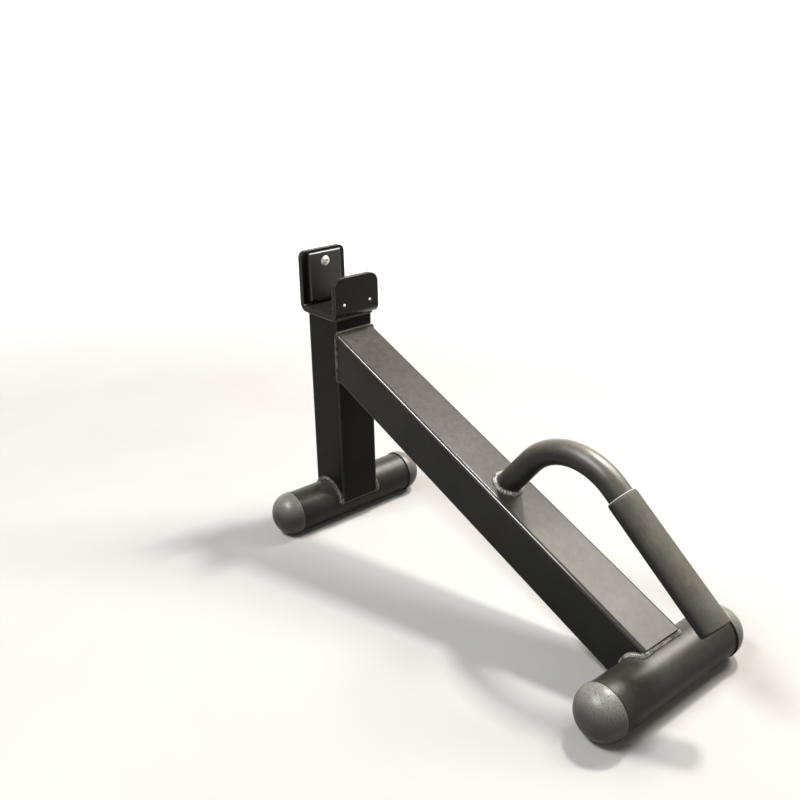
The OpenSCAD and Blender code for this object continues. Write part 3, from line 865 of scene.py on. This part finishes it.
# The bead at the beam's end lies this far inside the post's sides. It faces this much out of
# the post, and the cradle's bead this much down, for each part that it faces off the corner.
BEAM_BEAD_IN = 0.6 * MM
BEAM_BEAD_OUT = 0.9
CRADLE_BEAD_DOWN = 0.5
POST_FACE_Y = post_low.y
beam_rise = tan(BEAM_SLOPE) * (POST_FACE_Y - REAR_Y)
beam_half_high = TUBE_HALF / cos(BEAM_SLOPE)


def on_post_face(u, v, face_u, face_v):
    place = Vector((u, POST_FACE_Y, AXIS_Z + beam_rise + v))
    return place, Vector((face_u, -BEAM_BEAD_OUT, face_v)).normalized()


def under_cradle(u, v, face_u, face_v):
    place = Vector((u, FRONT_Y + v, post_high.z))
    return place, Vector((face_u, face_v, -CRADLE_BEAD_DOWN)).normalized()


upper_keys = rounded_rectangle(
    on_post_face, TUBE_HALF - BEAM_BEAD_IN, beam_half_high, TUBE_CORNER)
upper_bead = bead("beam_bead", upper_keys, UPPER_BEAD_R, bead_coat)
cradle_keys = rounded_rectangle(under_cradle, TUBE_HALF, TUBE_HALF, TUBE_CORNER)
cradle_bead = bead("cradle_bead", cradle_keys, UPPER_BEAD_R, bead_coat)

# %% Bead round the handle's root
ROOT_STEPS = 24
ROOT_BEAD_OUT = 1.1 * MM


def root_key(step):
    turn = 2 * pi * step / ROOT_STEPS
    reach = HANDLE_R + ROOT_BEAD_OUT
    across = reach * sin(turn)
    down = reach / sin(HANDLE_LEAN) * cos(turn)
    facing = beam_way(sin(turn), -cos(turn), 1).normalized()
    return on_beam(across, HANDLE_AT - down, TUBE_HALF), facing, 1.0


root_keys = [root_key(step) for step in range(ROOT_STEPS)]
handle_bead = bead("handle_bead", root_keys, BEAD_R, worn_bead_coat)

# %% [markdown]
# ## Hand the beads over
# Each bead stands for the plain weld of the CAD model, which is then hidden, and moves with
# the only body that the jack has.

# %% Put the beads in place
BEAD_OF = {
    "front_foot_weld": front_bead,
    "rear_foot_weld": rear_bead,
    "beam_weld": upper_bead,
    "cradle_weld": cradle_bead,
    "handle_weld": handle_bead,
}
for weld, piece in BEAD_OF.items():
    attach(piece, "root")
    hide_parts(weld)
print("beads:", len(BEAD_OF))

# %% [markdown]
# ## Light
# Black steel shows mostly what it mirrors, so the lamps are placed by what they draw. A small
# hard key high on the right casts the handle's shadow across the beam. A large softbox beside
# it is mirrored in the beam's top and gives the pale sheen there. A cooler one on the left
# draws the bright line along the beam's upper edge and the lights on the caps. A fourth one
# turns away from the jack and lights mostly the wall, so the background comes out white. One
# lamp overhead could light all of this, but it would draw none of it.

# %% Softboxes


def softbox(name, place, target, width, height, watts, colour):
    light = bpy.data.lights.new(name, "AREA")
    light.shape = "RECTANGLE"
    light.size = width
    light.size_y = height
    light.energy = watts
    light.color = linear(colour)[:3]
    lamp = bpy.data.objects.new(name, light)
    lamp.location = place
    lamp.rotation_euler = (Vector(target) - Vector(place)).to_track_quat("-Z", "Y").to_euler()
    bpy.context.scene.collection.objects.link(lamp)
    print(name, watts, "W")


softbox(
    "key_box", (1.02, 0.06, 1.95), target=(0, 0, 0.1),
    width=0.22, height=0.22, watts=54, colour="#fffaf4")
softbox(
    "sheen_box", (1.40, -0.35, 1.65), target=(0, -0.05, 0.1),
    width=0.6, height=0.6, watts=42, colour="#fff8f0")
softbox(
    "edge_box", (-1.05, 0.2, 1.6), target=(0, 0, 0.1),
    width=0.9, height=0.4, watts=42, colour="#fbfcff")
softbox(
    "backdrop_box", (0.9, 1.2, 1.7), target=(2.6, 3.2, 0.3),
    width=1.6, height=1.0, watts=54, colour="#ffffff")

# %% Sky
SKY_STRENGTH = 0.22
sky = bpy.data.worlds.new("studio")
sky.use_nodes = True
background = sky.node_tree.nodes["Background"]
background.inputs["Color"].default_value = linear("#f3f2f0")
background.inputs["Strength"].default_value = SKY_STRENGTH
bpy.context.scene.world = sky
bpy.context.scene.view_settings.view_transform = "Standard"
print("sky:", SKY_STRENGTH)
